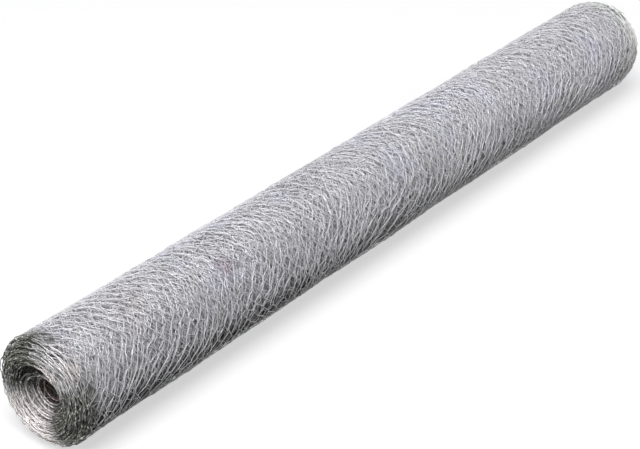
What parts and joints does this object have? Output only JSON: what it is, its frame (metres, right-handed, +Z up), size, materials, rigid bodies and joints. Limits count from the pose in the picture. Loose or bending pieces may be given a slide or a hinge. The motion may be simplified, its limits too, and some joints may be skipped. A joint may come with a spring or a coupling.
{
  "type": "roll of chicken wire",
  "caption": "Roll of galvanised hexagonal wire netting lying on its side, wound round an open core, with its turns showing on both ends; stock for fences, runs and cages.",
  "frame": {"origin": "middle of the roll's length and width at floor level, under the roll as it lies", "axes": "+X along the roll's axis from its dished end to its other end, +Y across the roll, +Z up"},
  "size_m": [1.0222, 0.117, 0.1169],
  "materials": {
    "galvanised_wire": "dull hot-dip zinc on drawn steel wire, light grey with slightly darker and brighter stretches"
  },
  "bodies": {
    "root": {"netting_roll": "galvanised_wire"}
  },
  "joints": []
}
